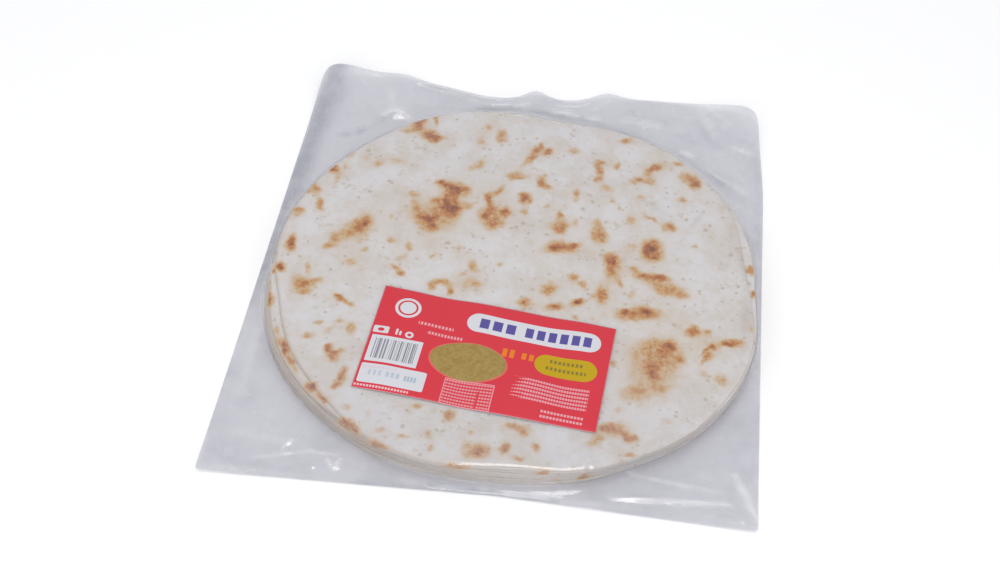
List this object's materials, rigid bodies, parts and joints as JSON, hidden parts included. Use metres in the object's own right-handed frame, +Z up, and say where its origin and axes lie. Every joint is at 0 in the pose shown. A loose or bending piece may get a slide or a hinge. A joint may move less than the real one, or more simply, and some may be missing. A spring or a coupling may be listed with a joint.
{
  "type": "bag of flatbreads",
  "caption": "Clear sealed bag, lying flat, that holds a stack of round thin toasted lavash flatbreads, with a red paper label stuck on its upper side.",
  "frame": {"origin": "on the table, below the middle of the bag", "axes": "+X along the bag's front edge, +Y from the front edge near the label to the back edge, +Z up"},
  "size_m": [0.308, 0.3578, 0.0164],
  "materials": {
    "clear_film": "clear glossy packing film, faintly grey and creased",
    "bread": "pale floury flatbread with toasted brown marks",
    "label_paper": "printed satin paper, red with pale fields"
  },
  "bodies": {
    "root": {"sealed_bag": "clear_film", "label": "label_paper"}
  },
  "joints": []
}
